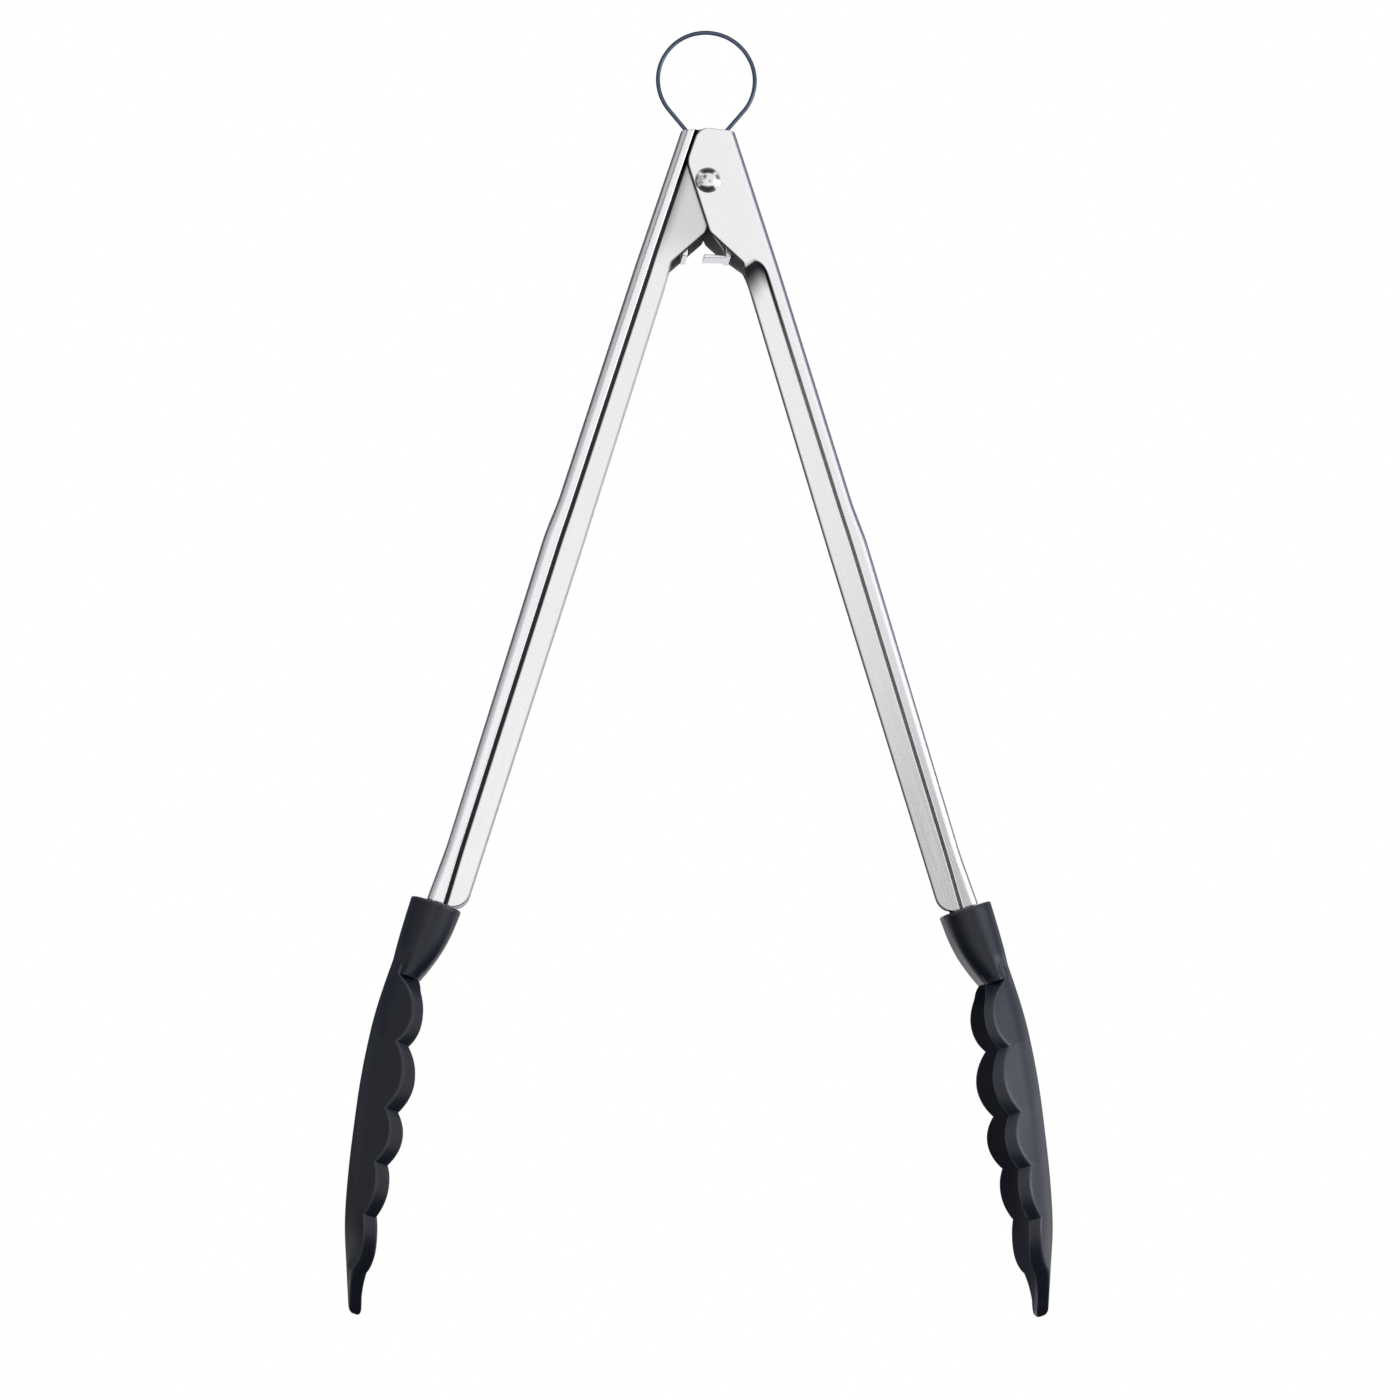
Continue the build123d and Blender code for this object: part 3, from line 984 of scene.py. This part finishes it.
def makeJaw(name, side):
    bm = bmesh.new()
    highlightLayer = bm.verts.layers.float.new("rim")
    scoop = [(jaw["socketEnd"] + place, scoopLoop(place, half)) for place, half in scoopStations()]
    socket = [(place, sleeveLoop(place, inset, edge)) for place, inset, edge in socketStations()]
    for loops in (scoop, socket):
        rings = [[armPoint(side, out, y, place) for out, y, mark in loop] for place, loop in loops]
        made = skinRings(bm, rings, True, True)
        for ring, (place, loop) in zip(made, loops):
            for vert, (out, y, mark) in zip(ring, loop):
                vert[highlightLayer] = mark
    piece = finishMesh(bm, name, jawNylon, smoothAngle=42)
    body = "outer" if side > 0 else "inner"
    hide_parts(body + "_jaw")
    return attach(piece, body)


outerJaw = makeJaw("outerJaw", 1)
innerJaw = makeJaw("innerJaw", -1)
print("jaws:", len(outerJaw.data.polygons), "and", len(innerJaw.data.polygons), "faces")


# Rivet, bush and cross pin: turned pieces on axes along y

lathe = {"sides": 96, "weld": 1e-7}
rivet = {
    "shank": 2.0,
    "foot": 8.55,
    "undercut": 0.06,
    "domeRadius": 3.25,
    "domeHeight": 1.9,
    "domeSteps": 22,
}
bush = {"bore": 2.05, "radius": 2.95, "half": 4.8, "ease": 0.25}
pin = {"radius": 1.3, "half": 6.1, "ease": 0.35, "easeSteps": 8, "up": 11.576}


def turned(name, profile, up, material, hollow=False):
    # a profile of (radius, y) pairs turned about the y axis
    bm = bmesh.new()
    rings = []
    for radius, y in profile:
        ring = []
        for angle in fullTurn(lathe["sides"]):
            ring.append(pivotPoint(radius * cos(angle), y, up + radius * sin(angle)))
        rings.append(ring)
    if hollow:
        rings.append(rings[0])
    skinRings(bm, rings, not hollow, not hollow)
    bmesh.ops.remove_doubles(bm, verts=bm.verts[:], dist=lathe["weld"])
    return finishMesh(bm, name, material, smoothAngle=40)


def domeProfile():
    ball = (rivet["domeRadius"] ** 2 + rivet["domeHeight"] ** 2) / (2 * rivet["domeHeight"])
    crown = rivet["foot"] + rivet["domeHeight"]
    reach = asin(rivet["domeRadius"] / ball)
    near = []
    for step in range(1, rivet["domeSteps"] + 1):
        angle = reach * step / rivet["domeSteps"]
        near.append((ball * sin(angle), ball - ball * cos(angle) - crown))
    near.append((rivet["domeRadius"] - rivet["undercut"], -rivet["foot"]))
    near.append((rivet["shank"], -rivet["foot"]))
    return near + mirrored(near[::-1])


def bushProfile():
    near = [
        (bush["bore"], -bush["half"]),
        (bush["radius"] - bush["ease"], -bush["half"]),
        (bush["radius"], bush["ease"] - bush["half"]),
    ]
    return near + mirrored(near[::-1])


def pinProfile():
    near = []
    for angle in quarterTurn(pin["easeSteps"])[1:]:
        radius = pin["radius"] - pin["ease"] * (1 - sin(angle))
        near.append((radius, -pin["half"] + pin["ease"] * (1 - cos(angle))))
    return near + mirrored(near[::-1])


pivotRivet = turned("pivotRivet", domeProfile(), 0.0, rivetSteel)
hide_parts("pivot_rivet")
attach(pivotRivet, "pivot")

pivotBush = turned("pivotBush", bushProfile(), 0.0, bushPlastic, True)
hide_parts("pivot_bush")
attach(pivotBush, "pivot")

ringPin = turned("ringPin", pinProfile(), pin["up"], pinSteel)
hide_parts("ring_pin")
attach(ringPin, "lock")
print("rivet, bush and pin: turned")


# Lock slider: a folded plate whose lower web crosses the crotch of the arms

slider = {"edgeEase": 0.16, "steps": 2, "weld": 2e-6, "flatAngle": 1, "edgeAngle": 40}


def makeSlider():
    bm = bmesh.new()
    bm.from_mesh(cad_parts["lock_slider"].data)
    bmesh.ops.remove_doubles(bm, verts=bm.verts[:], dist=slider["weld"])
    flat = radians(slider["flatAngle"])
    bmesh.ops.dissolve_limit(bm, angle_limit=flat, verts=bm.verts[:], edges=bm.edges[:])
    for layer in list(bm.loops.layers.uv):
        bm.loops.layers.uv.remove(layer)
    piece = finishMesh(bm, "lockSlider", lockSteel, slider["edgeAngle"])
    edge = piece.modifiers.new("edges", "BEVEL")
    edge.width = slider["edgeEase"] * mm
    edge.segments = slider["steps"]
    edge.limit_method = "ANGLE"
    edge.angle_limit = radians(slider["edgeAngle"])
    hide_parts("lock_slider")
    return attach(piece, "lock")


lockSlider = makeSlider()
print("lock slider:", len(lockSlider.data.polygons), "faces")


# Wire: the pull ring and the torsion spring, swept along their paths by one node tree

wire = {"sides": 20, "ring": 1.05, "spring": 1.5, "legShares": (0.25, 0.5, 0.75), "capAngle": 50}
ring = {"radius": 12.3, "up": 27.6, "steps": 140, "eye": 2.0, "eyeSteps": 24, "lean": 40.0}
spring = {"radius": 3.95, "pitch": 2.0, "turns": 3, "steps": 110, "reach": 17.0, "legOut": 8.7}


def wireTree():
    tree = bpy.data.node_groups.new("wireAlongPath", "GeometryNodeTree")
    inputs = (("Path", "Geometry"), ("Wire Radius", "Float"), ("Sides", "Int"), ("Finish", "Material"))
    for name, kind in inputs:
        tree.interface.new_socket(name, in_out="INPUT", socket_type="NodeSocket" + kind)
    tree.interface.new_socket("Wire", in_out="OUTPUT", socket_type="NodeSocketGeometry")
    kinds = {
        "given": "NodeGroupInput",
        "line": "GeometryNodeMeshToCurve",
        "circle": "GeometryNodeCurvePrimitiveCircle",
        "tube": "GeometryNodeCurveToMesh",
        "smooth": "GeometryNodeSetShadeSmooth",
        "real": "GeometryNodeRealizeInstances",
        "finish": "GeometryNodeSetMaterial",
        "result": "NodeGroupOutput",
    }
    nodes = {name: tree.nodes.new(kind) for name, kind in kinds.items()}
    nodes["tube"].inputs["Fill Caps"].default_value = True
    links = (
        ("given", "Path", "line", "Mesh"),
        ("given", "Wire Radius", "circle", "Radius"),
        ("given", "Sides", "circle", "Resolution"),
        ("line", "Curve", "tube", "Curve"),
        ("circle", "Curve", "tube", "Profile Curve"),
        ("tube", "Mesh", "smooth", "Geometry"),
        ("smooth", "Geometry", "real", "Geometry"),
        ("real", "Geometry", "finish", "Geometry"),
        ("given", "Finish", "finish", "Material"),
        ("finish", "Geometry", "result", "Wire"),
    )
    for start, leaving, end, entering in links:
        tree.links.new(nodes[start].outputs[leaving], nodes[end].inputs[entering])
    return tree


wireAlongPath = wireTree()


def sweepWire(name, points, radius, material, closed=False):
    mesh = bpy.data.meshes.new(name + "Path")
    runs = [(index, index + 1) for index in range(len(points) - 1)]
    if closed:
        runs.append((len(points) - 1, 0))
    mesh.from_pydata(points, runs, [])
    piece = putIn(name, mesh)
    sweep = piece.modifiers.new("wire", "NODES")
    sweep.node_group = wireAlongPath
    sizes = {"Wire Radius": radius * mm, "Sides": wire["sides"], "Finish": material}
    for socket in wireAlongPath.interface.items_tree:
        if socket.name in sizes:
            sweep[socket.identifier] = sizes[socket.name]
    bpy.context.view_layer.update()
    graph = bpy.context.evaluated_depsgraph_get()
    swept = bpy.data.meshes.new_from_object(piece.evaluated_get(graph))
    piece.modifiers.clear()
    piece.data = swept
    swept.name = name
    if not closed:
        swept.set_sharp_from_angle(angle=radians(wire["capAngle"]))
    return piece


def ringPath():
    # the loop, a leg down to the eye round the pin, and a leg up again
    lean = radians(ring["lean"])

    def arc(radius, up, start, end, steps):
        angles = ladder(start, end, steps)
        return [(radius * cos(angle), up + radius * sin(angle)) for angle in angles]

    def leg(start, end):
        shares = wire["legShares"]
        return [(between(start[0], end[0], share), between(start[1], end[1], share)) for share in shares]

    loop = arc(ring["radius"], ring["up"], -lean, pi + lean, ring["steps"])
    eye = arc(ring["eye"], pin["up"], pi + lean, 2 * pi - lean, ring["eyeSteps"])
    points = loop + leg(loop[-1], eye[0]) + eye + leg(eye[-1], loop[0])
    return [pivotPoint(x, 0.0, up) for x, up in points]


pullRing = sweepWire("pullRing", ringPath(), wire["ring"] / 2, ringSteel, True)
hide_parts("pull_ring")
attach(pullRing, "ring")


def springHalf(name, body, near):
    # a leg against the arm's back and half the coil
    legX = spring["legOut"] * cosOpen + spring["reach"] * sinOpen
    legUp = spring["legOut"] * sinOpen - spring["reach"] * cosOpen
    distance = hypot(legX, legUp)
    first = atan2(legUp, legX) + acos(spring["radius"] / distance)
    last = pi - first + 2 * pi * spring["turns"]
    legLength = sqrt(distance ** 2 - spring["radius"] ** 2)
    rise = spring["pitch"] / (2 * pi)
    middle = (first + last) / 2
    end = first if near else last
    steps = spring["steps"]

    def coil(angle):
        x, up = spring["radius"] * cos(angle), spring["radius"] * sin(angle)
        return Vector((x, rise * (angle - middle), up))

    way = Vector((-spring["radius"] * sin(end), rise, spring["radius"] * cos(end))).normalized()
    if near:
        way = -way
    points = [coil(between(middle, end, step / steps)) for step in range(steps + 1)]
    coilEnd = points[-1]
    points += [coilEnd + way * legLength * share for share in (*wire["legShares"], 1.0)]
    level = coilEnd.y
    piece = sweepWire(name, [pivotPoint(*point) for point in points], wire["spring"] / 2, springSteel)
    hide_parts("torsion_spring")
    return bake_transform(piece, "pivot", body, start=pivotPoint(0.0, 0.0, 0.0), end=pivotPoint(0.0, level, 0.0))


springHalf("springNearHalf", "outer", True)
springHalf("springFarHalf", "inner", False)
print("wire: ring and spring swept")


# Stage, light and camera

white = (1.0, 1.0, 1.0, 1.0)
stage = {
    "floorZ": -0.383,
    "floorRadius": 0.72,
    "floorRings": (0.02, 0.2, 0.4, 0.6, 0.8, 1.0),
    "floorSides": 96,
    "floorMottle": 6.0,
    "floorDeep": (0.84, 0.84, 0.84, 1.0),
    "floorPale": (0.86, 0.86, 0.86, 1.0),
    "floorGlow": 0.45,
    # how strongly the white round the object lights it
    "fill": 0.55,
}


def seenRays(tree):
    # 1 for what the camera sees, straight or by reflection or through something
    kinds = ("Is Camera Ray", "Is Glossy Ray", "Is Transmission Ray")
    rays = [tree.node("ShaderNodeLightPath", output=kind) for kind in kinds]
    return rays[0] + rays[1] + rays[2]


def makeFloor():
    # a pale round floor; what the camera and reflections see of it is lifted to white
    bm = bmesh.new()
    turns, level = fullTurn(stage["floorSides"]), stage["floorZ"]
    rings = []
    for share in stage["floorRings"]:
        reach = share * stage["floorRadius"]
        rings.append([(reach * cos(turn), reach * sin(turn), level) for turn in turns])
    skinRings(bm, rings, True, False)
    tree = Tree(bpy.data.materials.new("paleFloor"))
    mottle = tree.noise(stage["floorMottle"])
    colour = tree.mixColour(mottle, stage["floorDeep"], stage["floorPale"])
    matt = tree.node("ShaderNodeBsdfDiffuse", None, {"Color": colour})
    glow = tree.node("ShaderNodeEmission", None, {"Color": white, "Strength": stage["floorGlow"]})
    lifted = tree.node("ShaderNodeAddShader", None, {0: matt, 1: glow})
    shown = tree.node("ShaderNodeMixShader", None, {0: seenRays(tree), 1: matt, 2: lifted})
    floor = finishMesh(bm, "floor", tree.output(shown))


def makeWorld():
    world = bpy.data.worlds.new("studio")
    bpy.context.scene.world = world
    tree = Tree(world)
    seen = tree.node("ShaderNodeBackground", None, {"Color": white, "Strength": 1.0})
    fill = tree.node("ShaderNodeBackground", None, {"Color": white, "Strength": stage["fill"]})
    mixed = tree.node("ShaderNodeMixShader", None, {0: seenRays(tree), 1: fill, 2: seen})
    tree.output(mixed, "World")


# name, place, aim, size, watts, colour, whether reflections show it
lamps = (
    ("softboxRight", (0.97, -0.31, -0.1), (0.0, 0.0, -0.24), (1.0, 0.34), 2.7, (0.88, 0.94, 1.0), True),
    ("keyLamp", (0.75, -0.5, 0.75), (0.0, 0.0, -0.17), (0.5, 0.5), 4.0, (1.0, 1.0, 1.0), False),
)


def makeLamp(name, place, aim, size, watts, colour, shown):
    lamp = bpy.data.lights.new(name, "AREA")
    lamp.shape = "RECTANGLE"
    lamp.color = colour
    lamp.size, lamp.size_y = size
    lamp.energy = watts
    holder = putIn(name, lamp)
    holder.location = place
    holder.visible_glossy = shown
    holder.rotation_mode = "QUATERNION"
    holder.rotation_quaternion = (Vector(aim) - Vector(place)).to_track_quat("-Z", "Y")


# Cards are seen only in reflections, darker or brighter there than the white behind them
card = {"radius": 0.85, "slimRadius": 0.55, "columns": 16, "rows": 6, "flatRows": 8}
cardLook = {"mottle": 4.0, "deep": 0.92}
# name, from and to in degrees round the object, from and to in height, colour
cards = (
    # beside the arms, above the level that the jaws reflect
    ("cardLeftFront", (-46.0, -18.0), (-0.08, 0.6), (0.7, 0.68, 0.695)),
    ("cardLeft", (-86.0, -46.0), (0.12, 0.6), (0.52, 0.5, 0.51)),
    ("cardBackLeft", (-165.0, -86.0), (0.12, 0.6), (0.08, 0.09, 0.13)),
    ("cardMidLeft", (-104.0, -46.0), (-0.08, 0.12), (0.52, 0.51, 0.53)),
    ("cardMidBackLeft", (-165.0, -104.0), (-0.08, 0.12), (0.1, 0.11, 0.15)),
    ("cardBackRight", (68.0, 165.0), (0.12, 0.6), (0.15, 0.17, 0.24)),
    ("cardMidBackRight", (96.0, 165.0), (-0.05, 0.12), (0.15, 0.17, 0.24)),
    # in front, on the flanges of both arms
    ("cardFront", (7.0, 21.0), (-0.27, -0.08), (0.06, 0.06, 0.065)),
    ("cardFill", (-17.0, 2.0), (-0.18, -0.05), (1.2, 1.2, 1.215)),
    # round the jaws
    ("cardLowLeft", (-112.0, -46.0), (-0.25, -0.08), (0.44, 0.46, 0.50)),
    ("cardLowerLeft", (-140.0, -112.0), (-0.25, -0.08), (0.26, 0.27, 0.31)),
    ("cardLowBackLeft", (-165.0, -140.0), (-0.25, -0.08), (0.06, 0.065, 0.08)),
    ("cardLowestLeft", (-165.0, -34.0), (-0.372, -0.25), (0.04, 0.04, 0.05)),
    ("cardLowRight", (100.0, 145.0), (-0.36, -0.05), (0.74, 0.76, 0.82)),
    ("cardLowBackRight", (145.0, 165.0), (-0.36, -0.05), (0.3, 0.3, 0.34)),
    ("cardBack", (165.0, 195.0), (-0.36, -0.25), (0.42, 0.42, 0.52)),
)
slimCard = ("cardSlim", (-34.0, -13.0), (0.1, 0.45), (0.02, 0.02, 0.025))
# name, from and to in x, from and to in y, height, colour
flatCards = (
    ("cardLow", (-0.6, 0.4), (-0.32, 0.25), -0.372, (0.03, 0.03, 0.035)),
    ("cardTop", (-0.17, 0.17), (-0.17, 0.17), 0.2, (0.03, 0.03, 0.035)),
)


def finishCard(name, rows, colour):
    bm = bmesh.new()
    skinGrid(bm, rows)
    tree = Tree(bpy.data.materials.new(name))
    mottle = tree.noise(cardLook["mottle"], detail=2.0)
    pale = (*colour, 1.0)
    deep = (*(level * cardLook["deep"] for level in colour), 1.0)
    shown = tree.node("ShaderNodeEmission", None, {"Color": tree.mixColour(mottle, deep, pale)})
    piece = finishMesh(bm, name, tree.output(shown))
    piece.visible_camera = False
    piece.visible_diffuse = False
    piece.visible_shadow = False


def makeCard(name, turns, levels, colour, radius):
    # curved, with its middle on the z axis
    columns = []
    for turn in ladder(*turns, card["columns"]):
        x, y = radius * sin(radians(turn)), -radius * cos(radians(turn))
        columns.append([(x, y, level) for level in ladder(*levels, card["rows"])])
    finishCard(name, columns, colour)


def makeFlatCard(name, across, deep, level, colour):
    xs, ys = ladder(*across, card["flatRows"]), ladder(*deep, card["flatRows"])
    finishCard(name, [[(x, y, level) for x in xs] for y in ys], colour)


camera = {
    "place": (-0.071, -1.111, -0.28425),
    "aim": (-0.000742, 0.0, -0.169657),
    "roll": 0.3211,
    "lens": 115.107,
    "sensor": 36.0,
    "clip": (0.01, 20.0),
}


def makeCamera():
    data = bpy.data.cameras.new("photoCamera")
    data.lens = camera["lens"]
    data.sensor_width = camera["sensor"]
    data.clip_start, data.clip_end = camera["clip"]
    holder = putIn("photoCamera", data)
    ahead = (Vector(camera["aim"]) - Vector(camera["place"])).normalized()
    right = ahead.cross(Vector((0.0, 0.0, 1.0))).normalized()
    up = right.cross(ahead)
    roll = radians(camera["roll"])
    turnedRight = right * cos(roll) + up * sin(roll)
    turnedUp = up * cos(roll) - right * sin(roll)
    columns = Matrix((turnedRight, turnedUp, -ahead)).transposed().to_4x4()
    holder.matrix_world = Matrix.Translation(camera["place"]) @ columns
    bpy.context.scene.camera = holder


makeFloor()
makeWorld()
for row in lamps:
    makeLamp(*row)
for row in cards:
    makeCard(*row, card["radius"])
makeCard(*slimCard, card["slimRadius"])
for row in flatCards:
    makeFlatCard(*row)
makeCamera()
bpy.context.scene.view_settings.view_transform = "Standard"
print("stage: floor, world,", len(lamps), "lamps, cards and camera set")
